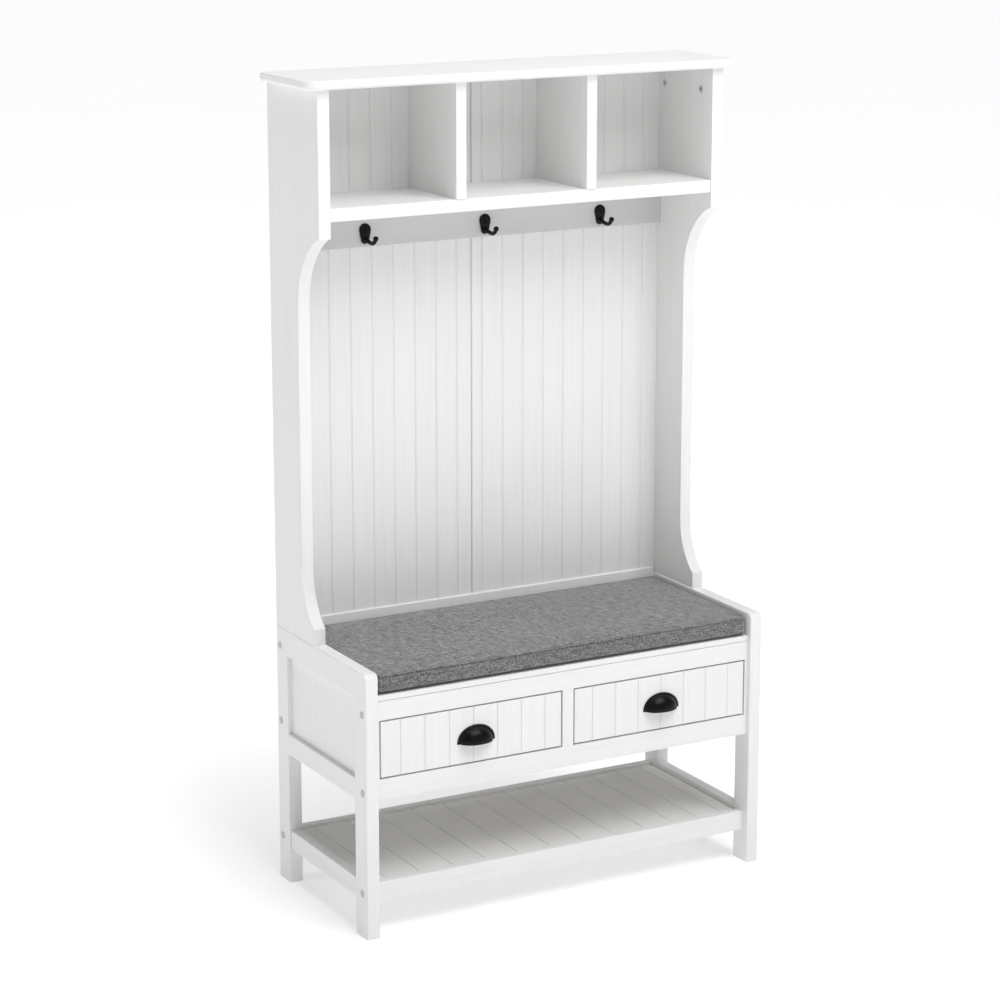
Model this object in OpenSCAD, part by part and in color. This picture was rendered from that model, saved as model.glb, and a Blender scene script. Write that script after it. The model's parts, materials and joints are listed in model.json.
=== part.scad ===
// Hall tree: a bench with two drawers and a low plank shelf, and above it a
// beadboard back with a hook rail, three cubbies and a top board.
// Millimetres, +Z up, front towards -Y, origin on the floor under the middle.

/* [Overall] */
// Width over the outer faces of the legs
width = 900; // [860:10:1000]
// Depth from the front of the front legs to the back of the rear legs
depth = 400; // [390:5:420]
// Height from the floor to the top of the top board
height = 1640; // [1600:10:1760]

/* [Bench] */
// Height of the arms above the floor
arm_h = 533; // [525:1:545]
// Height of the top face of the seat board
seat_h = 486; // [484:1:490]
// Width of a leg, seen from the front
leg_w = 27; // [24:1:32]
// Depth of a leg, seen from the side
leg_d = 49; // [45:1:55]
// Radius of the rounded front corner of each arm
arm_corner_r = 14; // [6:1:20]
// Distance from the front of the legs back to the drawer fronts
face_setback = 9.5; // [6:0.5:14]
// Height of the underside of the rail below the drawers
apron_low = 276; // [270:1:282]
// Height of the bottom edge of the drawer openings
opening_low = 318.5; // [316:0.5:322]
// Height of the top edge of the drawer openings
opening_high = 436; // [432:0.5:440]
// Thickness of the seat board
seat_t = 12; // [9:1:14]
// Setback of the recessed side panels from the outer faces of the legs
side_recess = 9; // [6:1:12]

/* [Low shelf] */
// Height of the underside of the front and rear shelf rails
shelf_rail_low = 67.5; // [55:0.5:80]
// Height of each shelf rail
shelf_rail_h = 40.5; // [36:0.5:46]
// Height of the top face of the planks
plank_top = 101; // [99:1:103]
// Width of a full plank, with its joint
plank_w = 73.4; // [70:0.2:76]

/* [Upper part] */
// Thickness of the upper side panels
side_t = 25; // [22:1:28]
// Depth of the side panels beside the cubbies
head_d = 223; // [215:1:235]
// Depth of the side panels at the narrow waist
waist_d = 125; // [115:1:135]
// Depth of the side panels where they stand on the arms
foot_d = 175.5; // [168:0.5:182]
// Height of the underside of the deep part of the side panels
head_low = 1340; // [1330:5:1345]
// Height of the underside of the cubby shelf
cubby_low = 1372; // [1365:1:1385]
// Thickness of the cubby shelf
cubby_shelf_t = 25.5; // [22:0.5:28]
// Thickness of the cubby dividers
divider_t = 22.5; // [18:0.5:25]
// Thickness of the top board
top_t = 18; // [16:1:22]
// Overhang of the top board at each side
top_overhang = 28; // [15:1:35]
// Setback of the front of the top board from the front of the legs
top_front = 161; // [150:1:165]
// Plan radius of the front corners of the top board
top_corner_r = 28; // [15:1:35]
// Height of the underside of the hook rail
hook_rail_low = 1287.5; // [1275:0.5:1300]
// Sideways spacing of the hooks
hook_pitch = 268.5; // [230:0.5:280]

/* [Drawers] */
// Gap round each drawer front
drawer_gap = 3; // [2:0.1:4]
// Thickness of a drawer front
drawer_front_t = 16; // [14:1:18]
// Spacing of the beads on the drawer fronts
bead_pitch = 53.1; // [50:0.1:55]
// How far the cup pulls stand out from the drawer fronts
pull_out = 23; // [18:1:28]
// How far each drawer is drawn out here
drawer_out = 0; // [0:5:250]

/* [Hidden] */
$fn = 48;

paint = "white";
bare_wood = "burlywood";
black_metal = "dimgray";

// Depth axis: the bench and the cup pulls together are centred on the origin
pull_proud = pull_out - face_setback;
rear = (depth + pull_proud) / 2;
front = rear - depth;
half = width / 2;

// Bench
inner = half - leg_w;                       // inner face of the legs
face = front + face_setback;                // front plane of the drawers and their frame
rail_t = 18;
frame_back = face + rail_t;                 // back of the drawer frame
arm_rail_h = 53;
side_low = 273;
side_lower_h = 43;
bench_back_t = 17;
back_gap = 10;                              // hollow behind the back boards
bench_back_front = rear - back_gap - bench_back_t;
bench_back_low = 300;
bench_back_top = 545;
seat_low_r = 3;
seat_top_r = 1;
side_panel_t = 12;
edge_r = 2;

// Low shelf
low_front_setback = 15.5;
low_side_low = 71;
low_side_t = 22;
low_side_inset = 3;
plank_t = 12;
plank_gap = 1.2;
cleat_w = 18;
plank_front = front + low_front_setback + rail_t;
plank_back = rear - back_gap - rail_t;
full_planks = 8;
narrow_plank_w = 60;
first_plank_w = 37.6;
last_plank_w = 32.8;
// Sideways places of the joints between the planks, from the left leg to the right leg
plank_joints = concat(
    [-inner],
    [for (i = [0 : full_planks]) -inner + first_plank_w + i * plank_w],
    [for (i = [2 : -1 : 0]) inner - last_plank_w - i * narrow_plank_w],
    [inner]
);

// Drawer frame
stile_half = 12.4;
end_stile_w = 6.6;
partition_half = 9;
opening_outer = inner - end_stile_w;

// Drawers
drawer_front_w = opening_outer - stile_half - 2 * drawer_gap;
drawer_front_h = opening_high - opening_low - 2 * drawer_gap;
drawer_mid = (opening_outer + stile_half) / 2;
drawer_low = opening_low + drawer_gap;
drawer_side_t = 12;
drawer_side_low = drawer_low + 2;
drawer_side_h = 107;
drawer_side_inset = 4;
drawer_side_front = face + drawer_front_t;
drawer_side_back = rear - 45;
drawer_inner_x = drawer_mid - drawer_front_w / 2 + drawer_side_inset;
drawer_outer_x = drawer_mid + drawer_front_w / 2 - drawer_side_inset;
bottom_t = 5;
bottom_groove = 5;
bottom_z = drawer_side_low + 9;
drawer_back_h = 85;
bead_count = 7;
bead_w = 2.6;
bead_depth = 1.6;
left_bead_shift = -2.4;
right_bead_shift = 1.1;
left_pull_shift = -7.4;
right_pull_shift = 1.1;

// Drawer runners
runner_clear = 0.4;
guide_clear = 1.1;
runner_top = drawer_side_low - runner_clear;
runner_h = 15;
runner_w = 26;
guide_h = 18;
kicker_clear = 1;
kicker_h = 18;
stop_clear = 0.5;

// Cup pull: heights are above its lower edge
pull_low = 361.5;
pull_h = 35.5;
pull_flange_t = 2;
pull_w = 83;
pull_wall = 2.2;
dome_w = 72;
dome_h = 31.5;
pull_screw_spacing = 64;
pull_screw_r = 2;
pull_screw_z = pull_low + 9;

// Cushion
cushion_t = 40;
cushion_clear = 2.5;
cushion_corner_r = 12;

// Upper part
upper_inner = half - side_t;
head_front = rear - head_d;
top_low = height - top_t;
top_back = rear - 18;
top_rear_r = 15;
top_under_r = 8;
top_upper_r = 2.5;
upper_arc_r = 155;
lower_arc_r = 136;
waist = rear - waist_d;
upper_arc_z = head_low - 142;
foot_front = rear - foot_d;
lower_arc_z = arm_h + 138.6;
back_t = 12;
back_face = rear - back_gap - back_t;
back_housing = 6;
back_seam = -15.7;
back_seam_gap = 1;
back_seam_w = 5;
back_seam_depth = 2.5;
back_groove_pitch = 47.6;
back_groove_w = 4.2;
back_groove_depth = 2;
left_groove_start = -383;
right_groove_start = 8.2;
batten_w = 60;
cubby_setback = 2.5;
hook_rail_t = 12;
rail_face = back_face - hook_rail_t;

// Cam fittings between the side panels and the top board
cam_r = 7.5;
cam_t = 11;
cam_drop = 45;
cam_bolt_r = 3;

// Hooks: heights are above the lower end of the plate
hook_shift = 8;
hook_low = 1293.5;
plate_h = 41;
plate_w = 25;
plate_low_w = 17;
plate_t = 4;
plate_dome_r = 140;
weld = 0.02;
prong_r = 4.1;
prong_low_z = 5;
prong_low_d = 26.5;
root_arc_r = 60;
tip_arc_r = 20;
root_arc_a = 28;
tip_arc_a = 65;
ball_r = 5.4;
hook_screw_r = 1.8;
hook_screw_zs = [25, 34];
hook_screw_length = 14;
hook_screw_head_r = 3;
hook_screw_head_h = 2;
hook_screw_seat = 1.2;
hook_screw_taper = 0.7;
hook_screw_slot = [3.4, 0.8, 1];             // length, width and depth of each arm of the cross recess

// Bolts through the legs into the rails: [distance from the leg's outer end face, height]
bolt_r = 3;
bolt_head_r = 6;
bolt_head_h = 5;
bolt_sink = 9;
bolt_tip = half - 66;
bore_clear = 0.1;
cap_r = 7.5;
cap_proud = 1.5;
cap_plug = 3;
front_bolts = [[16, 451], [16, 294], [21.5, 89]];
rear_bolts = [[16, 494], [16, 336.5], [16, 92]];

// ---- Shared shapes ----

// A box between two opposite corners
module block(lo, hi) {
    translate(lo) cube(hi - lo);
}

// A rectangle whose corners are rounded: lower left, lower right, upper right, upper left
module eased_rect(w, h, radii) {
    difference() {
        square([w, h]);
        for (i = [0 : 3]) {
            r = radii[i];
            right = i == 1 || i == 2;
            top = i > 1;
            if (r > 0) {
                translate([right ? w - r : r, top ? h - r : r]) difference() {
                    translate([right ? 0 : -r - 1, top ? 0 : -r - 1]) square(r + 1);
                    circle(r);
                }
            }
        }
    }
}

// A bar along X, Y or Z, with its long edges eased
module bar_x(lo, hi, radii) {
    translate(lo) rotate([90, 0, 90]) linear_extrude(hi.x - lo.x)
        eased_rect(hi.y - lo.y, hi.z - lo.z, radii);
}

module bar_y(lo, hi, radii) {
    translate([lo.x, hi.y, lo.z]) rotate([90, 0, 0]) linear_extrude(hi.y - lo.y)
        eased_rect(hi.x - lo.x, hi.z - lo.z, radii);
}

module bar_z(lo, hi, radii) {
    translate(lo) linear_extrude(hi.z - lo.z)
        eased_rect(hi.x - lo.x, hi.y - lo.y, radii);
}

// What is drawn for the right side, or its mirror image for the left
module on_side(side) {
    if (side == "left") {
        mirror([1, 0, 0]) children();
    } else {
        children();
    }
}

// A V-groove up the front face at y = 0, cutting towards +Y
module groove(w, d, z0, z1) {
    translate([0, 0, z0]) linear_extrude(z1 - z0)
        polygon([[-w / 2, -1], [-w / 2, 0], [0, d], [w / 2, 0], [w / 2, -1]]);
}

// ---- Bolts through the legs ----

// Every bolt on the right side, as [y, z]
function bolt_places() = concat(
    [for (b = front_bolts) [front + b[0], b[1]]],
    [for (b = rear_bolts) [rear - b[0], b[1]]]
);

// What follows is drawn along +Z from the middle plane, once for each bolt on both sides
module at_bolts() {
    for (side = ["left", "right"], p = bolt_places()) {
        on_side(side) translate([0, p[0], p[1]]) rotate([0, 90, 0]) children();
    }
}

module bolt_bores() {
    at_bolts() {
        translate([0, 0, bolt_tip - 1]) cylinder(h = half - bolt_tip + 2, r = bolt_r + bore_clear);
        translate([0, 0, half - bolt_sink]) cylinder(h = bolt_sink + 1, r = bolt_head_r + bore_clear);
    }
}

module frame_bolts() {
    color("silver") at_bolts() {
        translate([0, 0, bolt_tip]) cylinder(h = half - bolt_sink - bolt_tip, r = bolt_r);
        translate([0, 0, half - bolt_sink]) cylinder(h = bolt_head_h, r = bolt_head_r);
    }
}

module bolt_caps() {
    color("darkgray") at_bolts() {
        translate([0, 0, half - cap_plug]) cylinder(h = cap_plug, r = bolt_head_r);
        translate([0, 0, half]) cylinder(h = cap_proud / 2, r = cap_r);
        translate([0, 0, half + cap_proud / 2])
            cylinder(h = cap_proud / 2, r1 = cap_r, r2 = cap_r - cap_proud);
    }
}

// ---- Bench sides ----

// Everything below the arms' rounded top edges and front corners
module arm_envelope() {
    intersection() {
        bar_x([0, front, 0], [half, rear, arm_h], [0, 0, 0, arm_corner_r]);
        bar_y([inner, front, 0], [half, rear, arm_h], [0, 0, edge_r, edge_r]);
    }
}

module leg(side, end) {
    leg_front = end == "front" ? front : rear - leg_d;
    front_r = end == "front" ? edge_r : 0;
    color(paint) on_side(side) difference() {
        intersection() {
            bar_z([inner, leg_front, 0], [half, leg_front + leg_d, arm_h], [front_r, front_r, 0, 0]);
            arm_envelope();
        }
        bolt_bores();
    }
}

module arm(side) {
    color(paint) on_side(side) intersection() {
        block([inner, front + leg_d, arm_h - arm_rail_h], [half, rear - leg_d, arm_h]);
        arm_envelope();
    }
}

module side_lower_rail(side) {
    color(paint) on_side(side)
        bar_y([inner, front + leg_d, side_low], [half, rear - leg_d, side_low + side_lower_h],
              [edge_r, edge_r, 0, 0]);
}

module side_panel(side) {
    outer = half - side_recess;
    color(paint) on_side(side)
        block([outer - side_panel_t, front + leg_d, side_low + side_lower_h],
              [outer, rear - leg_d, arm_h - arm_rail_h]);
}

module low_side_rail(side) {
    outer = half - low_side_inset;
    color(paint) on_side(side)
        bar_y([outer - low_side_t, front + leg_d, low_side_low],
              [outer, rear - leg_d, low_side_low + shelf_rail_h],
              [edge_r, edge_r, edge_r, edge_r]);
}

// ---- Low shelf ----

module low_cross_rail(y) {
    color(paint) difference() {
        bar_x([-inner, y, shelf_rail_low], [inner, y + rail_t, shelf_rail_low + shelf_rail_h],
              [edge_r, edge_r, edge_r, edge_r]);
        bolt_bores();
    }
}

module low_front_rail() {
    low_cross_rail(front + low_front_setback);
}

module low_rear_rail() {
    low_cross_rail(plank_back);
}

// Strips on the inside of the rails, under the ends of the planks
module shelf_cleats() {
    top = plank_top - plank_t;
    color(paint) for (y = [plank_front, plank_back - cleat_w]) {
        block([-inner, y, top - cleat_w], [inner, y + cleat_w, top]);
    }
}

module shelf_planks() {
    r = 0.8;
    color(paint) for (i = [0 : len(plank_joints) - 2]) {
        bar_y([plank_joints[i] + plank_gap / 2, plank_front, plank_top - plank_t],
              [plank_joints[i + 1] - plank_gap / 2, plank_back, plank_top], [0, 0, r, r]);
    }
}

// ---- Drawer frame, seat and bench back ----

module drawer_rail() {
    color(paint) difference() {
        bar_x([-inner, face, apron_low], [inner, frame_back, opening_low], [edge_r, edge_r, 0, 0]);
        bolt_bores();
    }
}

module seat_rail() {
    color(paint) difference() {
        block([-inner, face, opening_high], [inner, frame_back, seat_h - seat_t]);
        bolt_bores();
    }
}

module centre_stile() {
    color(paint) block([-stile_half, face, opening_low], [stile_half, frame_back, opening_high]);
}

module end_stile(side) {
    color(paint) on_side(side) block([opening_outer, face, opening_low], [inner, frame_back, opening_high]);
}

// The upright board between the two drawers
module partition() {
    color(paint) block([-partition_half, frame_back, apron_low],
                       [partition_half, bench_back_front, seat_h - seat_t]);
}

// The board across the back of the bench; its top edge shows above the cushion
module bench_back() {
    color(paint) difference() {
        bar_x([-inner, bench_back_front, bench_back_low],
              [inner, bench_back_front + bench_back_t, bench_back_top], [0, 0, 0, 2.5]);
        bolt_bores();
    }
}

// The two strips of one drawer: beside the bench side, and beside the partition
module runner_pair(z0, z1, guide_z1) {
    y = [frame_back, bench_back_front];
    outer_guide = drawer_outer_x + guide_clear;
    inner_guide = drawer_inner_x - guide_clear;
    union() {
        block([inner - runner_w, y[0], z0], [inner, y[1], z1]);
        if (guide_z1 > z1) block([outer_guide, y[0], z0], [inner, y[1], guide_z1]);
    }
    union() {
        block([partition_half, y[0], z0], [partition_half + runner_w, y[1], z1]);
        if (guide_z1 > z1) block([partition_half, y[0], z0], [inner_guide, y[1], guide_z1]);
    }
}

// L-shaped strips that the drawers slide on
module drawer_runners() {
    color(bare_wood) for (side = ["left", "right"]) on_side(side)
        runner_pair(runner_top - runner_h, runner_top, runner_top + guide_h);
}

// Strips above the drawer sides, which keep a drawn-out drawer from tipping
module drawer_kickers() {
    low = drawer_side_low + drawer_side_h + kicker_clear;
    color(bare_wood) for (side = ["left", "right"]) on_side(side)
        runner_pair(low, low + kicker_h, low);
}

// Blocks on the runners, behind the drawer sides
module drawer_stops() {
    color(bare_wood) for (side = ["left", "right"]) on_side(side)
        for (x = [drawer_inner_x, drawer_outer_x - drawer_side_t]) {
            block([x, drawer_side_back + stop_clear, runner_top],
                  [x + drawer_side_t, bench_back_front, runner_top + guide_h]);
        }
}

module seat_board() {
    color(paint) bar_x([-inner, face, seat_h - seat_t], [inner, bench_back_front, seat_h],
                       [seat_low_r, 0, 0, seat_top_r]);
}

module cushion() {
    r = cushion_corner_r;
    x = inner - cushion_clear;
    color("gray") bar_z([-x, face + 1, seat_h], [x, bench_back_front - cushion_clear, seat_h + cushion_t],
                        [r, r, r, r]);
}

// ---- Upper part ----

// Side view of an upper side panel: deep beside the cubbies, cut back to a waist by two arcs
module upper_side_profile() {
    far = 400;
    difference() {
        translate([head_front, arm_h]) square([head_d, top_low - arm_h]);
        translate([waist - far, lower_arc_z]) square([far, upper_arc_z - lower_arc_z]);
        intersection() {
            translate([waist - upper_arc_r, upper_arc_z]) circle(upper_arc_r);
            translate([waist - far, upper_arc_z]) square([far, head_low - upper_arc_z]);
        }
        intersection() {
            translate([waist - lower_arc_r, lower_arc_z]) circle(lower_arc_r);
            translate([waist - far, arm_h]) square([far, lower_arc_z - arm_h]);
        }
        translate([foot_front - far, arm_h - 1]) square([far, lower_arc_z - arm_h + 2]);
    }
}

// Depths at which the cam fittings sit in a side panel
function cam_ys() = [rear - 43, rear - 180];

module upper_side(side) {
    color(paint) on_side(side) difference() {
        translate([upper_inner, 0, 0]) rotate([90, 0, 90]) linear_extrude(side_t) upper_side_profile();
        block([upper_inner - 1, back_face, bench_back_top],
              [upper_inner + back_housing, back_face + back_t, height]);
        for (y = cam_ys()) {
            translate([upper_inner - 1, y, top_low - cam_drop]) rotate([0, 90, 0])
                cylinder(h = cam_t + 1, r = cam_r);
            translate([upper_inner + cam_t / 2, y, top_low - cam_drop])
                cylinder(h = cam_drop + 1, r = cam_bolt_r);
        }
    }
}

module cam_locks() {
    color("gray") for (side = ["left", "right"]) on_side(side) for (y = cam_ys()) {
        translate([upper_inner, y, top_low - cam_drop]) rotate([0, 90, 0]) difference() {
            cylinder(h = cam_t, r = cam_r);
            translate([0, 0, -1]) cylinder(h = 4, r = 2.6);
        }
    }
}

// Studs from the cams up into the top board
module cam_bolts() {
    low = top_low - cam_drop + cam_r;
    color("silver") for (side = ["left", "right"]) on_side(side) for (y = cam_ys()) {
        translate([upper_inner + cam_t / 2, y, low])
            cylinder(h = top_low + top_t / 2 - low, r = cam_bolt_r);
    }
}

module back_board(x0, x1, first_groove) {
    color(paint) difference() {
        block([x0, back_face, bench_back_top], [x1, back_face + back_t, top_low]);
        for (x = [first_groove : back_groove_pitch : x1 - back_groove_w]) {
            translate([x, back_face, 0])
                groove(back_groove_w, back_groove_depth, bench_back_top - 1, height);
        }
        translate([back_seam, back_face, 0])
            groove(back_seam_w, back_seam_depth, bench_back_top - 1, height);
    }
}

// Strip behind the seam of the two back boards
module back_batten() {
    y = back_face + back_t;
    color(bare_wood) block([back_seam - batten_w / 2, y, bench_back_top],
                           [back_seam + batten_w / 2, y + back_gap, top_low]);
}

module cubby_shelf() {
    color(paint) bar_x([-upper_inner, head_front + cubby_setback, cubby_low],
                       [upper_inner, back_face, cubby_low + cubby_shelf_t], [1.5, 0, 0, 1.5]);
}

module divider(side) {
    cubby_w = (2 * upper_inner - 2 * divider_t) / 3;
    color(paint) on_side(side)
        bar_z([cubby_w / 2, head_front, cubby_low + cubby_shelf_t],
              [cubby_w / 2 + divider_t, back_face, top_low], [1, 1, 0, 0]);
}

// One corner of the top board, turned to its place; its edge is fuller below than above
module top_corner(r, turn) {
    rotate([0, 0, turn]) rotate_extrude(angle = 90) eased_rect(r, top_t, [0, top_under_r, top_upper_r, 0]);
}

module top_board() {
    x = half + top_overhang;
    y = front + top_front;
    fr = top_corner_r;
    rr = top_rear_r;
    low_side = [top_under_r, 0, 0, top_upper_r];
    high_side = [0, top_under_r, top_upper_r, 0];
    color(paint) difference() {
        union() {
            block([fr - x, y + fr, top_low], [x - fr, top_back - rr, height]);
            bar_x([fr - x, y, top_low], [x - fr, y + fr, height], low_side);
            bar_x([rr - x, top_back - rr, top_low], [x - rr, top_back, height], high_side);
            bar_y([-x, y + fr, top_low], [fr - x, top_back - rr, height], low_side);
            bar_y([x - fr, y + fr, top_low], [x, top_back - rr, height], high_side);
            translate([x - rr, top_back - rr, top_low]) top_corner(rr, 0);
            translate([rr - x, top_back - rr, top_low]) top_corner(rr, 90);
            translate([fr - x, y + fr, top_low]) top_corner(fr, 180);
            translate([x - fr, y + fr, top_low]) top_corner(fr, 270);
        }
        for (side = [-1, 1], cam_y = cam_ys()) {
            translate([side * (upper_inner + cam_t / 2), cam_y, top_low - 1])
                cylinder(h = top_t / 2 + 1, r = cam_bolt_r);
        }
    }
}

module hook_rail() {
    color(paint) difference() {
        bar_x([-upper_inner, rail_face, hook_rail_low], [upper_inner, back_face, cubby_low], [2, 0, 0, 0]);
        for (i = [-1 : 1]) at_hook(i) hook_screw_bores();
    }
}

// ---- Hooks ----

// Moves what follows to a hook's plate; y = 0 is the middle of the plate's front
module at_hook(i) {
    translate([hook_shift + i * hook_pitch, rail_face - plate_t, hook_low]) children();
}

module hook_screw_bores() {
    for (z = hook_screw_zs) translate([0, hook_screw_seat, z]) rotate([-90, 0, 0]) {
        translate([0, 0, -5]) cylinder(h = 5, r = hook_screw_head_r + bore_clear);
        cylinder(h = hook_screw_length, r = hook_screw_r + bore_clear);
    }
}

// Front view of a hook plate: round ends, the upper one wider, joined by a straight part.
// The straight part's corners lie just inside the circles, so that the three shapes overlap.
module plate_outline() {
    low_r = plate_low_w / 2;
    high_r = plate_w / 2;
    rise = plate_h - low_r - high_r;
    lean = asin((high_r - low_r) / rise);
    low_corner = (low_r - weld) * [cos(lean), -sin(lean)];
    high_corner = (high_r - weld) * [cos(lean), -sin(lean)];
    translate([0, low_r]) circle(low_r);
    translate([0, plate_h - high_r]) circle(high_r);
    polygon([
        [low_corner.x, low_r + low_corner.y],
        [high_corner.x, plate_h - high_r + high_corner.y],
        [-high_corner.x, plate_h - high_r + high_corner.y],
        [-low_corner.x, low_r + low_corner.y],
    ]);
}

// An arc of round bar that starts at its lowest point and climbs away from it through the given angle
module prong_arc(arc_r, angle) {
    rotate([90, 0, 90]) translate([0, arc_r, 0]) rotate([0, 0, -90])
        rotate_extrude(angle = angle) translate([arc_r, 0]) circle(prong_r);
}

module hook(i) {
    tip_y = -prong_low_d - tip_arc_r * sin(tip_arc_a);
    tip_z = prong_low_z + tip_arc_r * (1 - cos(tip_arc_a));
    color(black_metal) at_hook(i) {
        difference() {
            union() {
                intersection() {
                    translate([0, plate_t, 0]) rotate([90, 0, 0]) linear_extrude(plate_t) plate_outline();
                    translate([0, plate_dome_r, plate_h / 2]) sphere(plate_dome_r, $fn = 300);
                }
                translate([0, -prong_low_d, prong_low_z]) prong_arc(root_arc_r, root_arc_a);
                translate([0, -prong_low_d, prong_low_z]) mirror([0, 1, 0]) prong_arc(tip_arc_r, tip_arc_a);
                translate([0, tip_y, tip_z]) sphere(ball_r);
            }
            hook_screw_bores();
        }
    }
}

// Two screws in each hook, with a cross recess in the head
module hook_screws() {
    color(black_metal) for (i = [-1 : 1], z = hook_screw_zs) at_hook(i) translate([0, hook_screw_seat, z]) {
        rotate([-90, 0, 0]) cylinder(h = hook_screw_length, r = hook_screw_r);
        difference() {
            rotate([90, 0, 0]) {
                rim_h = hook_screw_head_h / 2;
                cylinder(h = rim_h, r = hook_screw_head_r);
                translate([0, 0, rim_h])
                    cylinder(h = rim_h, r1 = hook_screw_head_r, r2 = hook_screw_head_r - hook_screw_taper);
            }
            for (turn = [0, 90]) rotate([0, turn, 0]) {
                half_slot = hook_screw_slot / 2;
                block([-half_slot.x, -hook_screw_head_h - 1, -half_slot.y],
                      [half_slot.x, -hook_screw_head_h + hook_screw_slot.z, half_slot.y]);
            }
        }
    }
}

// ---- Drawers: drawn for the right side, with x measured from the middle of the bench ----

module slid_out() {
    translate([0, -drawer_out, 0]) children();
}

// Sideways place of a cup pull
function pull_x(side) = drawer_mid + (side == "left" ? left_pull_shift : right_pull_shift);

module drawer_front(side) {
    lo = [drawer_mid - drawer_front_w / 2, face, drawer_low];
    hi = [drawer_mid + drawer_front_w / 2, drawer_side_front, drawer_low + drawer_front_h];
    r = 1.2;
    shift = side == "left" ? left_bead_shift : right_bead_shift;
    color(paint) slid_out() on_side(side) difference() {
        intersection() {
            bar_x(lo, hi, [r, 0, 0, r]);
            bar_z(lo, hi, [r, r, 0, 0]);
        }
        for (i = [0 : bead_count - 1]) {
            translate([drawer_mid + shift + (i - (bead_count - 1) / 2) * bead_pitch, face, 0])
                groove(bead_w, bead_depth, lo.z - 1, hi.z + 1);
        }
        block([drawer_inner_x + drawer_side_t - bottom_groove, drawer_side_front - bottom_groove, bottom_z],
              [drawer_outer_x - drawer_side_t + bottom_groove, drawer_side_front + 1, bottom_z + bottom_t]);
        for (s = [-1, 1]) {
            translate([pull_x(side) + s * pull_screw_spacing / 2, face - 1, pull_screw_z])
                rotate([-90, 0, 0]) cylinder(h = drawer_front_t + 2, r = pull_screw_r);
        }
    }
}

// place is the x of the side board's face nearer the middle of the bench, groove_x that of its groove
module drawer_side(side, place, groove_x) {
    color(paint) slid_out() on_side(side) difference() {
        bar_y([place, drawer_side_front, drawer_side_low],
              [place + drawer_side_t, drawer_side_back, drawer_side_low + drawer_side_h], [0, 0, 1.5, 1.5]);
        block([groove_x, drawer_side_front - 1, bottom_z],
              [groove_x + bottom_groove, drawer_side_back + 1, bottom_z + bottom_t]);
    }
}

module drawer_side_outer(side) {
    place = drawer_outer_x - drawer_side_t;
    drawer_side(side, place, place);
}

module drawer_side_inner(side) {
    drawer_side(side, drawer_inner_x, drawer_inner_x + drawer_side_t - bottom_groove);
}

module drawer_back(side) {
    color(paint) slid_out() on_side(side)
        block([drawer_inner_x + drawer_side_t, drawer_side_back - drawer_side_t, bottom_z + bottom_t],
              [drawer_outer_x - drawer_side_t, drawer_side_back, bottom_z + bottom_t + drawer_back_h]);
}

module drawer_bottom(side) {
    color(paint) slid_out() on_side(side)
        block([drawer_inner_x + drawer_side_t - bottom_groove, drawer_side_front - bottom_groove, bottom_z],
              [drawer_outer_x - drawer_side_t + bottom_groove, drawer_side_back, bottom_z + bottom_t]);
}

// Front view of the pull's flange: a half ellipse with a straight lower edge
module flange_outline() {
    steps = 40;
    polygon([
        for (i = [0 : steps]) [pull_w / 2 * cos(180 * i / steps), pull_h * pow(sin(180 * i / steps), 0.9)]
    ]);
}

// A quarter of an ellipsoid, flat below and behind
module dome(w, d, h) {
    intersection() {
        scale([w / 2, d, h]) sphere(1, $fn = 64);
        block([-w, -2 * d, 0], [w, 0, 2 * h]);
    }
}

module cup_pull() {
    difference() {
        union() {
            rotate([90, 0, 0]) linear_extrude(pull_flange_t) flange_outline();
            dome(dome_w, pull_out, dome_h);
        }
        translate([0, 0, -0.01]) dome(dome_w - 2 * pull_wall, pull_out - pull_wall, dome_h - pull_wall);
    }
}

module drawer_pull(side) {
    color(black_metal) slid_out() on_side(side) translate([pull_x(side), face, pull_low]) cup_pull();
}

// Screws from inside the drawer into the ends of the pull's flange
module drawer_screws(side) {
    head_h = 2.5;
    color("silver") slid_out() on_side(side) for (s = [-1, 1]) {
        translate([pull_x(side) + s * pull_screw_spacing / 2, drawer_side_front + head_h, pull_screw_z])
            rotate([90, 0, 0]) {
                cylinder(h = head_h, r = 4);
                cylinder(h = head_h + drawer_front_t, r = pull_screw_r);
            }
    }
}

leg("left", "front");  // leg_front_left
leg("right", "front");  // leg_front_right
leg("left", "rear");  // leg_rear_left
leg("right", "rear");  // leg_rear_right
arm("left");  // arm_left
arm("right");  // arm_right
side_lower_rail("left");  // side_lower_rail_left
side_lower_rail("right");  // side_lower_rail_right
side_panel("left");  // side_panel_left
side_panel("right");  // side_panel_right
low_side_rail("left");  // low_side_rail_left
low_side_rail("right");  // low_side_rail_right
low_front_rail();
low_rear_rail();
shelf_cleats();
shelf_planks();
drawer_rail();
seat_rail();
centre_stile();
end_stile("left");  // end_stile_left
end_stile("right");  // end_stile_right
partition();
bench_back();
drawer_runners();
drawer_kickers();
drawer_stops();
seat_board();
cushion();
frame_bolts();
bolt_caps();
upper_side("left");  // upper_side_left
upper_side("right");  // upper_side_right
back_board(-upper_inner - back_housing, back_seam - back_seam_gap / 2, left_groove_start);  // back_board_left
back_board(back_seam + back_seam_gap / 2, upper_inner + back_housing, right_groove_start);  // back_board_right
back_batten();
cubby_shelf();
divider("left");  // divider_left
divider("right");  // divider_right
top_board();
cam_bolts();
cam_locks();
hook_rail();
hook(-1);  // hook_left
hook(0);  // hook_centre
hook(1);  // hook_right
hook_screws();
drawer_front("left");  // left_drawer_front
drawer_side_outer("left");  // left_drawer_side_outer
drawer_side_inner("left");  // left_drawer_side_inner
drawer_back("left");  // left_drawer_back
drawer_bottom("left");  // left_drawer_bottom
drawer_pull("left");  // left_drawer_pull
drawer_screws("left");  // left_drawer_screws
drawer_front("right");  // right_drawer_front
drawer_side_outer("right");  // right_drawer_side_outer
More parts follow.
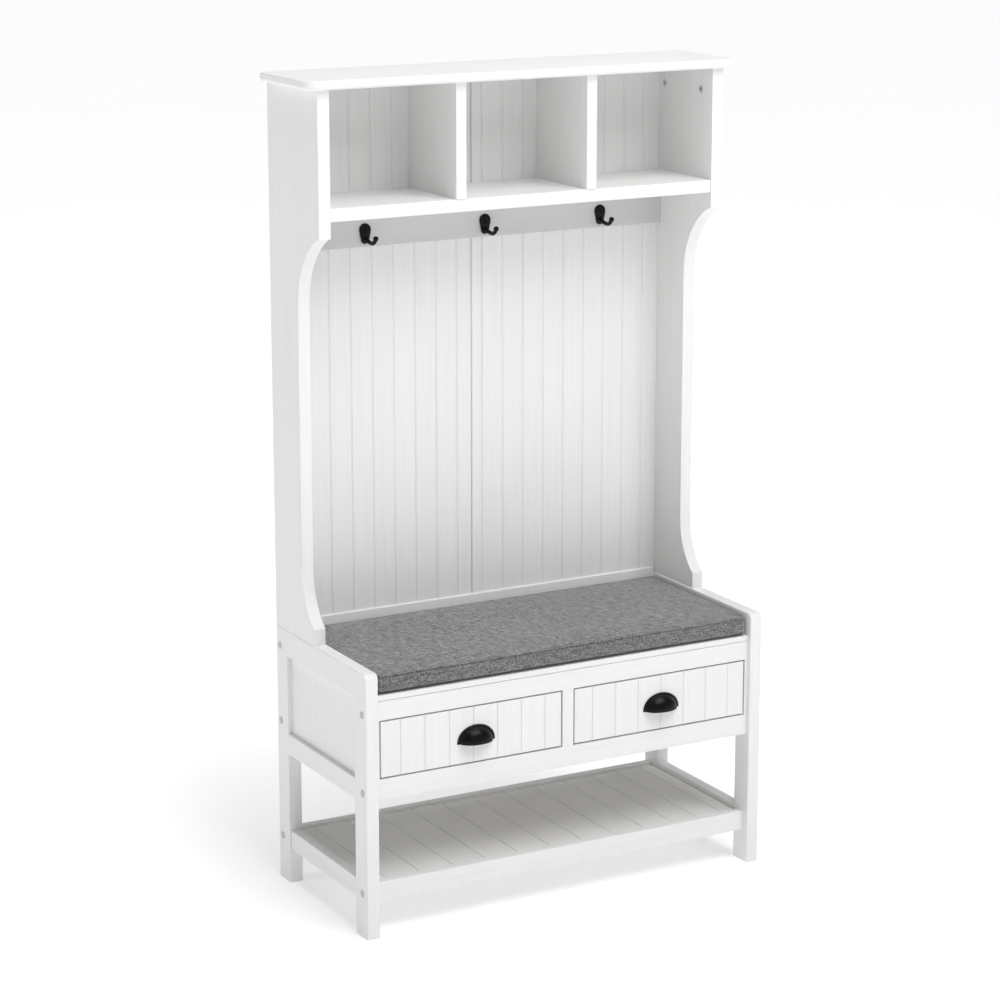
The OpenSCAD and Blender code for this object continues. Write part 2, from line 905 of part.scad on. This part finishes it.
drawer_side_inner("right");  // right_drawer_side_inner
drawer_back("right");  // right_drawer_back
drawer_bottom("right");  // right_drawer_bottom
drawer_pull("right");  // right_drawer_pull
drawer_screws("right");  // right_drawer_screws
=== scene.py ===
"""Hall tree with hooks: materials, the stuffed cushion and the black fittings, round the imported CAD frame."""

import json
import math

import bmesh
import bpy
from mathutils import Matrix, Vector
from mathutils.bvhtree import BVHTree


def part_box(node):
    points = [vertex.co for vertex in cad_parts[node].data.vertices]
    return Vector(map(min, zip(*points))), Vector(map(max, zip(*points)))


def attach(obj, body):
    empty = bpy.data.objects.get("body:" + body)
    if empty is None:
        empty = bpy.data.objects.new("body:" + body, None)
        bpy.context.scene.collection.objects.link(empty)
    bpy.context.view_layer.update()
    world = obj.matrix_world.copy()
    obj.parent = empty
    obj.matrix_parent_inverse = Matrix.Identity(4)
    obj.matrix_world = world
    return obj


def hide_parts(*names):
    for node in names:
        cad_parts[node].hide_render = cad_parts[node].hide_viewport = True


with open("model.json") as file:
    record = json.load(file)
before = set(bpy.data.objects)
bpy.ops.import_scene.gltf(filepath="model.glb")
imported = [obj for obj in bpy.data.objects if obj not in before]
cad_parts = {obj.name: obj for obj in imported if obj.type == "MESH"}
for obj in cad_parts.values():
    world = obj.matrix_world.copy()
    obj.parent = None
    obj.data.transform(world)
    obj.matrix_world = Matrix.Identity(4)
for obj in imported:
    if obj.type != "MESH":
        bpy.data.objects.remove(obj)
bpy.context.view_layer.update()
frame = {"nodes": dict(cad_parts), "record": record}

MM = 0.001

# ---- Camera, floor and light ----

CAMERA_AIM = Vector((-0.052, 0.0, 0.889))
CAMERA_AZIMUTH = math.radians(-28.92)
CAMERA_ELEVATION = math.radians(12.86)
CAMERA_DISTANCE = 5.867
CAMERA_LENS = 106.57
CAMERA_SHIFT_Y = -0.05
# The studio's far walls are white at the horizon. They fade to DAYLIGHT, a strength, where the sine of
# the elevation is WALL_TOP
DAYLIGHT = 0.26
WALL_TOP = 0.12
# Each softbox: its name, where it hangs, what it points at, its width and height, and its power in watts
OBJECT_MIDDLE = (0.0, 0.0, 0.9)
SOFTBOXES = [
    ("key", (0.5, -2.4, 4.2), OBJECT_MIDDLE, 3.0, 2.4, 113.0),
    ("left_fill", (-4.0, 1.0, 1.5), OBJECT_MIDDLE, 3.0, 3.0, 14.0),
    ("overhead", (0.0, 0.1, 4.6), (0.0, 0.1, 0.0), 3.0, 3.0, 58.0),
]
FLOOR_HALF = 40.0
# Painted light: the floor glows, though it is no lamp, a little near the object and more with distance, so that
# it reads white far off while the object's shadow stays near it
GLOW_NEAR, GLOW_FAR = 0.31, 0.73
GLOW_NEAR_R, GLOW_FAR_R = 0.45, 1.7


def camera_direction(azimuth, elevation):
    """The direction from the object towards a camera; azimuth 0 is in front."""
    level = math.cos(elevation)
    return Vector((math.sin(azimuth) * level, -math.cos(azimuth) * level, math.sin(elevation)))


def add_camera():
    data = bpy.data.cameras.new("camera")
    data.lens = CAMERA_LENS
    data.shift_y = CAMERA_SHIFT_Y
    data.clip_end = 200.0
    camera = bpy.data.objects.new("camera", data)
    bpy.context.scene.collection.objects.link(camera)
    back = camera_direction(CAMERA_AZIMUTH, CAMERA_ELEVATION)
    camera.location = CAMERA_AIM + back * CAMERA_DISTANCE
    camera.rotation_euler = (-back).to_track_quat("-Z", "Y").to_euler()
    bpy.context.scene.camera = camera


def add_softbox(name, place, aim, width, height, power):
    data = bpy.data.lights.new(name, "AREA")
    data.shape = "RECTANGLE"
    data.size = width
    data.size_y = height
    data.energy = power
    light = bpy.data.objects.new(name, data)
    bpy.context.scene.collection.objects.link(light)
    light.location = place
    light.rotation_euler = (Vector(aim) - Vector(place)).to_track_quat("-Z", "Y").to_euler()


def add_light():
    world = bpy.data.worlds.new("studio")
    world.use_nodes = True
    tree = world.node_tree
    way = add_node(tree, "ShaderNodeTexCoord").outputs["Generated"]
    height = add_node(tree, "ShaderNodeSeparateXYZ", {0: way}).outputs["Z"]
    background = tree.nodes["Background"]
    background.inputs["Color"].default_value = (1.0, 1.0, 1.0, 1.0)
    tree.links.new(fade(tree, height, 0.0, 1.0, WALL_TOP, DAYLIGHT), background.inputs["Strength"])
    bpy.context.scene.world = world
    for softbox in SOFTBOXES:
        add_softbox(*softbox)


def add_floor(material):
    mesh = bpy.data.meshes.new("floor")
    half = FLOOR_HALF
    corners = [(-half, -half, 0), (half, -half, 0), (half, half, 0), (-half, half, 0)]
    mesh.from_pydata(corners, [], [(0, 1, 2, 3)])
    mesh.materials.append(material)
    floor = bpy.data.objects.new("floor", mesh)
    bpy.context.scene.collection.objects.link(floor)


# ---- Materials ----

# The sockets of a Mix node that mixes colours
MIX_A, MIX_B, MIX_COLOUR = 6, 7, 2
RELIEF_STRENGTH = 0.6
EDGE_SAMPLES = 4
# The hook rail's white is painted greyer than that of its neighbours: painted shade, for the shadow under the
# cubby shelf
RAIL_SHADE_TONE = 0.72
# One thread to the next in the cushion's weave
WEAVE_PITCH = 1.5 * MM
# The cushion's foot is painted near black this far up its sides: a painted shadow line where it sits on the
# seat
FOOT_SHADE_H = 5.5 * MM
FOOT_SHADE_BLUR = 1.0 * MM
FOOT_SHADE_TONE = 0.03
# The shadow line of the top seam: its depth below the cushion's top, and where it starts and ends to fade
SEAM_DROP = 5.0 * MM
SEAM_HALF_W = 0.6 * MM
SEAM_BLUR = 1.6 * MM
SEAM_TONE = 0.45
# The boxing strip below the seam is painted darker: painted shade on the cushion's sides, which face away from
# the light above
STRIP_SHADE_TONE = 0.85


def add_node(tree, kind, inputs=None, **settings):
    """A shader node; an input is given as a value or as the socket that feeds it."""
    node = tree.nodes.new(kind)
    for name, value in settings.items():
        setattr(node, name, value)
    for name, value in (inputs or {}).items():
        if isinstance(value, bpy.types.NodeSocket):
            tree.links.new(value, node.inputs[name])
        else:
            node.inputs[name].default_value = value
    return node


def new_material(name, **constants):
    material = bpy.data.materials.new(name)
    material.use_nodes = True
    shader = material.node_tree.nodes["Principled BSDF"]
    for socket, value in constants.items():
        shader.inputs[socket.replace("_", " ")].default_value = value
    return material, material.node_tree, shader


def stretched(tree, scale):
    """Object coordinates, in metres, multiplied along each axis."""
    place = add_node(tree, "ShaderNodeTexCoord").outputs["Object"]
    return add_node(tree, "ShaderNodeMapping", {"Vector": place, "Scale": scale}).outputs["Vector"]


def along(axis, across, lengthways):
    """Texture scale for streaks that run along one axis."""
    return tuple(lengthways if name == axis else across for name in "XYZ")


def noise(tree, scale, detail=3.0, roughness=0.55, distortion=0.0):
    inputs = {"Vector": stretched(tree, scale), "Scale": 1.0, "Detail": detail}
    inputs.update({"Roughness": roughness, "Distortion": distortion})
    return add_node(tree, "ShaderNodeTexNoise", inputs).outputs["Fac"]


def ramp(tree, factor, low, dark, high, light):
    """A colour that goes from dark at low to light at high."""
    node = add_node(tree, "ShaderNodeValToRGB", {"Fac": factor})
    first, last = node.color_ramp.elements
    first.position, first.color = low, (*dark, 1.0)
    last.position, last.color = high, (*light, 1.0)
    return node.outputs["Color"]


def grey(level):
    return (level, level, level)


def multiply(tree, a, b):
    inputs = {0: 1.0, MIX_A: a, MIX_B: b}
    node = add_node(tree, "ShaderNodeMix", inputs, data_type="RGBA", blend_type="MULTIPLY")
    return node.outputs[MIX_COLOUR]


def darker_off(tree, colour, mask, tone):
    """The colour as it is where the mask is 1, and times tone where it is 0."""
    return multiply(tree, colour, ramp(tree, mask, 0.0, grey(tone), 1.0, grey(1.0)))


def fade(tree, value, start, first, end, last):
    """A number that goes from first, where the value is start, to last, where it is end."""
    inputs = {"Value": value, "From Min": start, "From Max": end, "To Min": first, "To Max": last}
    return add_node(tree, "ShaderNodeMapRange", inputs).outputs["Result"]


def remap(tree, factor, low, high):
    """A factor from 0 to 1 turned into a number from low to high."""
    return fade(tree, factor, 0.0, low, 1.0, high)


def maths(tree, operation, *values):
    return add_node(tree, "ShaderNodeMath", dict(enumerate(values)), operation=operation).outputs[0]


def finish_surface(tree, shader, colour, roughness, relief, depth, edge_radius=0.0):
    """Joins colour, roughness and relief, depth deep, to a shader; edge_radius rounds the light on edges."""
    tree.links.new(colour, shader.inputs["Base Color"])
    tree.links.new(roughness, shader.inputs["Roughness"])
    inputs = {"Height": relief, "Distance": depth, "Strength": RELIEF_STRENGTH}
    if edge_radius:
        bevel = add_node(tree, "ShaderNodeBevel", {"Radius": edge_radius}, samples=EDGE_SAMPLES)
        inputs["Normal"] = bevel.outputs["Normal"]
    tree.links.new(add_node(tree, "ShaderNodeBump", inputs).outputs["Normal"], shader.inputs["Normal"])


def white_paint(axis, tone=1.0):
    """Satin white paint, with the wood's grain showing faintly along the board; tone below 1 paints it greyer,
    as painted shade.
    """
    material, tree, shader = new_material("white_paint_" + axis, Specular_IOR_Level=0.4)
    fine = noise(tree, along(axis, 420.0, 9.0), 5.0, 0.6)
    broad = noise(tree, along(axis, 90.0, 2.2), 4.0, 0.6, 0.8)
    clouds = noise(tree, (5.0, 5.0, 5.0), 2.0)
    grain = maths(tree, "MULTIPLY", maths(tree, "ADD", fine, broad), 0.5)
    colour = ramp(tree, grain, 0.34, (0.786, 0.784, 0.778), 0.58, (0.825, 0.824, 0.820))
    colour = multiply(tree, colour, ramp(tree, clouds, 0.3, grey(0.985 * tone), 0.7, grey(tone)))
    finish_surface(tree, shader, colour, remap(tree, broad, 0.36, 0.52), grain, 0.15 * MM, 1.2 * MM)
    return material


def bare_wood(axis):
    """Planed pine: growth rings drawn out along the board, and fine pores."""
    material, tree, shader = new_material("bare_wood_" + axis, Specular_IOR_Level=0.3)
    figure = noise(tree, along(axis, 11.0, 0.9), 2.0, 0.4, 0.8)
    rings = maths(tree, "PINGPONG", maths(tree, "MULTIPLY", figure, 22.0), 1.0)
    pores = noise(tree, along(axis, 700.0, 14.0), 4.0, 0.6)
    colour = ramp(tree, rings, 0.0, (0.70, 0.50, 0.29), 0.85, (0.82, 0.66, 0.44))
    colour = multiply(tree, colour, ramp(tree, pores, 0.3, grey(0.86), 0.6, grey(1.0)))
    finish_surface(tree, shader, colour, remap(tree, pores, 0.7, 0.55), pores, 0.2 * MM, 0.8 * MM)
    return material


def heathered_fabric(bottom, top):
    """Grey linen-look cloth between two heights: slubs along both threads, over a plain weave.

    Painted shade: the foot of the cushion is painted near black for the shadow gap beneath it, its top seam has
    a painted shadow line, and the boxing strip below the seam is painted darker than the top.
    """
    material, tree, shader = new_material("heathered_fabric", Specular_IOR_Level=0.15)
    shader.inputs["Sheen Weight"].default_value = 1.0
    shader.inputs["Sheen Roughness"].default_value = 0.4
    weft = noise(tree, (60.0, 130.0, 1300.0), 4.0, 0.75)
    warp = noise(tree, (450.0, 38.0, 160.0), 4.0, 0.75)
    mottle = noise(tree, (260.0, 60.0, 900.0), 3.0, 0.75)
    slubs = maths(tree, "MULTIPLY", maths(tree, "ADD", weft, warp), 0.5)
    colour = ramp(tree, slubs, 0.42, (0.046, 0.045, 0.044), 0.58, (0.366, 0.362, 0.354))
    colour = multiply(tree, colour, ramp(tree, mottle, 0.4, grey(0.76), 0.6, grey(1.14)))
    height = add_node(tree, "ShaderNodeSeparateXYZ", {0: stretched(tree, (1.0, 1.0, 1.0))}).outputs["Z"]
    # Painted shadow: the foot of the cushion is painted near black, for the shadow gap under its rounded bottom
    # edge
    foot_shade_top = bottom + FOOT_SHADE_H
    above_foot_shade = fade(tree, height, foot_shade_top, 0.0, foot_shade_top + FOOT_SHADE_BLUR, 1.0)
    colour = darker_off(tree, colour, above_foot_shade, FOOT_SHADE_TONE)
    seam = top - SEAM_DROP
    from_seam = maths(tree, "ABSOLUTE", maths(tree, "SUBTRACT", height, seam))
    off_seam = fade(tree, from_seam, SEAM_HALF_W, 0.0, SEAM_BLUR, 1.0)
    colour = darker_off(tree, colour, off_seam, SEAM_TONE)
    # Painted shade: the cushion's sides, below the seam, darker than its top
    above_shaded_strip = fade(tree, height, seam - SEAM_BLUR, 0.0, seam, 1.0)
    colour = darker_off(tree, colour, above_shaded_strip, STRIP_SHADE_TONE)
    relief = maths(tree, "ADD", woven(tree, WEAVE_PITCH), maths(tree, "MULTIPLY", slubs, 2.0))
    finish_surface(tree, shader, colour, remap(tree, slubs, 0.95, 0.8), relief, 0.25 * MM)
    return material


def woven(tree, pitch):
    """A plain weave: ripples along X, crossed with ripples along Y and up."""
    turns = 2.0 * math.pi / pitch
    axes = add_node(tree, "ShaderNodeSeparateXYZ", {0: stretched(tree, (turns, turns, turns))})
    x, y, z = axes.outputs
    cross = maths(tree, "ADD", y, z)
    return maths(tree, "MULTIPLY", maths(tree, "SINE", x), maths(tree, "SINE", cross))


def black_lacquer():
    """Satin black lacquer on a casting: very slightly uneven."""
    material, tree, shader = new_material("black_lacquer", Specular_IOR_Level=0.18)
    peel = noise(tree, (900.0, 900.0, 900.0), 3.0)
    waves = noise(tree, (120.0, 120.0, 120.0), 2.0)
    colour = ramp(tree, waves, 0.3, grey(0.002), 0.7, grey(0.004))
    finish_surface(tree, shader, colour, remap(tree, waves, 0.26, 0.38), peel, 0.05 * MM)
    return material


def zinc_steel():
    """Zinc-plated steel, finely scratched."""
    material, tree, shader = new_material("zinc_steel", Metallic=1.0)
    scratches = noise(tree, (900.0, 900.0, 90.0), 3.0, 0.7)
    colour = ramp(tree, scratches, 0.3, (0.52, 0.53, 0.55), 0.7, (0.68, 0.68, 0.69))
    finish_surface(tree, shader, colour, remap(tree, scratches, 0.25, 0.45), scratches, 0.03 * MM)
    return material


def cap_plastic():
    """Matte grey moulded plastic with a fine spark-eroded texture."""
    material, tree, shader = new_material("cap_plastic", Specular_IOR_Level=0.35)
    texture = noise(tree, (1500.0, 1500.0, 1500.0), 2.0)
    colour = ramp(tree, texture, 0.3, grey(0.48), 0.7, grey(0.54))
    finish_surface(tree, shader, colour, remap(tree, texture, 0.45, 0.6), texture, 0.04 * MM, 0.3 * MM)
    return material


def studio_floor():
    material, tree, shader = new_material("studio_floor", Specular_IOR_Level=0.1)
    speckle = noise(tree, (2.0, 2.0, 2.0), 2.0)
    colour = ramp(tree, speckle, 0.3, grey(0.90), 0.7, grey(0.92))
    finish_surface(tree, shader, colour, remap(tree, speckle, 0.85, 0.95), speckle, 0.02 * MM)
    # Painted light: the floor glows, more with distance from the object
    place = add_node(tree, "ShaderNodeTexCoord").outputs["Object"]
    distance = add_node(tree, "ShaderNodeVectorMath", {0: place}, operation="LENGTH").outputs["Value"]
    glow = fade(tree, distance, GLOW_NEAR_R, GLOW_NEAR, GLOW_FAR_R, GLOW_FAR)
    shader.inputs["Emission Color"].default_value = (1.0, 1.0, 1.0, 1.0)
    tree.links.new(glow, shader.inputs["Emission Strength"])
    return material


# ---- Materials on the CAD nodes ----

# The axis along which each board's grain runs; boards not named here run along X
UPRIGHT = ("leg_", "side_panel_", "centre_stile", "end_stile_", "upper_side_", "back_board_", "back_batten",
           "divider_", "left_drawer_front", "right_drawer_front")
FRONT_TO_BACK = ("arm_", "side_lower_rail_", "low_side_rail_", "shelf_planks", "partition", "drawer_runners",
                 "drawer_kickers", "drawer_stops", "left_drawer_side_", "right_drawer_side_")


def grain_axis(node):
    if node.startswith(UPRIGHT):
        return "Z"
    if node.startswith(FRONT_TO_BACK):
        return "Y"
    return "X"


def dress_frame(lacquer):
    """Gives every CAD node the material of its slot."""
    paints = {axis: white_paint(axis) for axis in "XYZ"}
    # Painted shade: a greyer copy of the white paint for the hook rail under the cubby shelf
    rail_shade_paint = white_paint("X", RAIL_SHADE_TONE)
    woods = {axis: bare_wood(axis) for axis in "XYZ"}
    others = {"black_metal": lacquer, "steel": zinc_steel(), "cap_plastic": cap_plastic()}
    for row in frame["record"]["subparts"]:
        node, slot = row["node"], row["material_slot"]
        if node == "hook_rail":
            material = rail_shade_paint
        elif slot == "white_paint":
            material = paints[grain_axis(node)]
        elif slot == "bare_wood":
            material = woods[grain_axis(node)]
        elif slot in others:
            material = others[slot]
        else:
            continue
        data = frame["nodes"][node].data
        data.materials.clear()
        data.materials.append(material)


# ---- Shared mesh work ----


def new_piece(name, mesh, material):
    piece = bpy.data.objects.new(name, mesh)
    bpy.context.scene.collection.objects.link(piece)
    mesh.materials.clear()
    mesh.materials.append(material)
    return piece


def apply_modifiers(piece):
    """Bakes a piece's modifiers into its mesh."""
    bpy.context.view_layer.update()
    shown = piece.evaluated_get(bpy.context.evaluated_depsgraph_get())
    mesh = bpy.data.meshes.new_from_object(shown)
    piece.modifiers.clear()
    piece.data = mesh


def shade_smooth(piece):
    for polygon in piece.data.polygons:
        polygon.use_smooth = True


def remesh(piece, voxel):
    modifier = piece.modifiers.new("remesh", "REMESH")
    modifier.mode = "VOXEL"
    modifier.voxel_size = voxel
    apply_modifiers(piece)


def body_of_node(node):
    bodies = frame["record"]["behaviour"]["bodies"]
    return next(body for body, nodes in bodies.items() if node in nodes)


# ---- Black fittings: castings with soft edges and fillets ----

# The voxels that a casting is remeshed with, and how many times it is smoothed after that
HOOK_VOXEL, HOOK_PASSES = 0.5 * MM, 5
PULL_VOXEL, PULL_PASSES = 0.6 * MM, 4
SMOOTHING = 0.5


def cast_fitting(name, node, material, voxel, passes):
    """The node's shape with its edges and inner corners melted, as on a lacquered casting."""
    piece = new_piece(name, frame["nodes"][node].data.copy(), material)
    remesh(piece, voxel)
    smooth = piece.modifiers.new("smooth", "SMOOTH")
    smooth.factor = SMOOTHING
    smooth.iterations = passes
    apply_modifiers(piece)
    shade_smooth(piece)
    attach(piece, body_of_node(node))
    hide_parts(node)


def add_fittings(lacquer):
    for place in ("left", "centre", "right"):
        cast_fitting("coat_hook_" + place, "hook_" + place, lacquer, HOOK_VOXEL, HOOK_PASSES)
    for side in ("left", "right"):
        cast_fitting("cup_pull_" + side, side + "_drawer_pull", lacquer, PULL_VOXEL, PULL_PASSES)


# ---- Cushion ----

CUSHION_CELL = 12.0 * MM
# The cushion starts this much smaller than its CAD node at each end, and at the front and the back
CUSHION_END_INSET = 3.5 * MM
CUSHION_FRONT_INSET = 1.0 * MM
CUSHION_CORNER_R = 6.0 * MM
CUSHION_TOP_R = 3.5 * MM
CUSHION_BOTTOM_R = 9.0 * MM
# The simulation's pressure, how far a point may move, and how far the top may rise
CUSHION_PRESSURE = 0.08
CUSHION_REACH = 5.0 * MM
CUSHION_CROWN = 4.0 * MM
SIMULATION_FRAMES = 20
# The cord in the top seam, and from how far outside it is dropped onto the cushion
WELT_R = 1.5 * MM
WELT_STEP = 6.0 * MM
WELT_REACH = 30.0 * MM


def round_edges(bm, radius, segments, wanted):
    """Bevels the edges that wanted() picks by the normals of their two faces."""
    edges = [e for e in bm.edges if wanted(*(f.normal for f in e.link_faces))]
    bmesh.ops.bevel(bm, geom=edges, offset=radius, segments=segments, profile=0.5, affect="EDGES")
    bm.normal_update()


def cushion_block(low, high):
    """A foam block: an even grid on each face, rounded corners, and a crisp top and a softer bottom edge."""
    bm = bmesh.new()
    bmesh.ops.create_cube(bm, size=1.0)
    size, centre = high - low, (low + high) / 2
    for vertex in bm.verts:
        vertex.co = Vector(c * s for c, s in zip(vertex.co, size)) + centre
    for axis in range(3):
        edges = [e for e in bm.edges if abs(e.verts[0].co[axis] - e.verts[1].co[axis]) > size[axis] / 2]
        cuts = round(size[axis] / CUSHION_CELL) - 1
        bmesh.ops.subdivide_edges(bm, edges=edges, cuts=cuts, use_grid_fill=True)
    bm.normal_update()
    # The four upright corners, then the edges of the top face, then those of the bottom face
    round_edges(bm, CUSHION_CORNER_R, 4, lambda a, b: abs(a.z) + abs(b.z) < 0.1 and a.dot(b) < 0.5)
    round_edges(bm, CUSHION_TOP_R, 3, lambda a, b: abs(a.z - b.z) > 0.5 and max(a.z, b.z) > 0.9)
    round_edges(bm, CUSHION_BOTTOM_R, 4, lambda a, b: abs(a.z - b.z) > 0.5 and min(a.z, b.z) < -0.9)
    mesh = bpy.data.meshes.new("cushion_block")
    bm.to_mesh(mesh)
    bm.free()
    return mesh


def swell(piece, pressure, reach):
    """Blows a closed mesh up by cloth simulation. No point moves further than reach."""
    start = [vertex.co.copy() for vertex in piece.data.vertices]
    cloth = piece.modifiers.new("cloth", "CLOTH")
    cloth.settings.use_pressure = True
    cloth.settings.uniform_pressure_force = pressure
    cloth.settings.effector_weights.gravity = 0.0
    cloth.point_cache.frame_end = SIMULATION_FRAMES
    for number in range(1, SIMULATION_FRAMES + 1):
        bpy.context.scene.frame_set(number)
    apply_modifiers(piece)
    bpy.context.scene.frame_set(1)
    for vertex, place in zip(piece.data.vertices, start):
        move = vertex.co - place
        if move.length > reach:
            vertex.co = place + move * (reach / move.length)


def keep_within(piece, low, high):
    for vertex in piece.data.vertices:
        vertex.co = Vector(min(max(c, a), b) for c, a, b in zip(vertex.co, low, high))


def perimeter(low, high, radius, step):
    """Points round a rounded rectangle about the origin, each with the direction that points away from it."""
    turn_steps = 6
    corners = [(high.x, high.y, 0), (low.x, high.y, 90), (low.x, low.y, 180), (high.x, low.y, 270)]
    arcs = []
    for x, y, start in corners:
        centre = Vector((x - math.copysign(radius, x), y - math.copysign(radius, y)))
        for number in range(turn_steps + 1):
            angle = math.radians(start + 90 * number / turn_steps)
            out = Vector((math.cos(angle), math.sin(angle)))
            arcs.append((centre + out * radius, out))
    points = []
    for (here, out), (there, _) in zip(arcs, arcs[1:] + arcs[:1]):
        pieces = max(1, round((there - here).length / step))
        points += [(here.lerp(there, number / pieces), out) for number in range(pieces)]
    return points


def add_welt(cushion, low, high, material):
    """The seam along the cushion's top edge: a thin cord that follows the swollen surface."""
    surface = BVHTree.FromPolygons([v.co for v in cushion.data.vertices],
                                   [p.vertices for p in cushion.data.polygons])
    path = []
    for place, out in perimeter(low, high, CUSHION_CORNER_R, WELT_STEP):
        edge = Vector((*place, high.z))
        away = Vector((*out, 1.0)).normalized()
        hit = surface.ray_cast(edge + away * WELT_REACH, -away)[0]
        if hit:
            path.append(hit)
    curve = bpy.data.curves.new("seat_cushion_welt", "CURVE")
    curve.dimensions = "3D"
    curve.bevel_depth = WELT_R
    curve.bevel_resolution = 3
    spline = curve.splines.new("POLY")
    spline.points.add(len(path) - 1)
    for point, place in zip(spline.points, path):
        point.co = (*place, 1.0)
    spline.use_cyclic_u = True
    welt = new_piece("seat_cushion_welt", curve, material)
    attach(welt, "frame")


def add_cushion(material):
    low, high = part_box("cushion")
    inset = Vector((CUSHION_END_INSET, CUSHION_FRONT_INSET, 0.0))
    block_low, block_high = low + inset, high - inset
    cushion = new_piece("seat_cushion", cushion_block(block_low, block_high), material)
    swell(cushion, CUSHION_PRESSURE, CUSHION_REACH)
    keep_within(cushion, block_low, block_high + Vector((0.0, 0.0, CUSHION_CROWN)))
    cushion.modifiers.new("subdivide", "SUBSURF").levels = 1
    apply_modifiers(cushion)
    shade_smooth(cushion)
    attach(cushion, "frame")
    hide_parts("cushion")
    add_welt(cushion, block_low, block_high, material)


# ---- Assembly ----

bpy.context.scene.view_settings.view_transform = "Standard"
add_camera()
add_light()
add_floor(studio_floor())
black = black_lacquer()
dress_frame(black)
add_fittings(black)
cushion_low, cushion_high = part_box("cushion")
add_cushion(heathered_fabric(cushion_low.z, cushion_high.z))
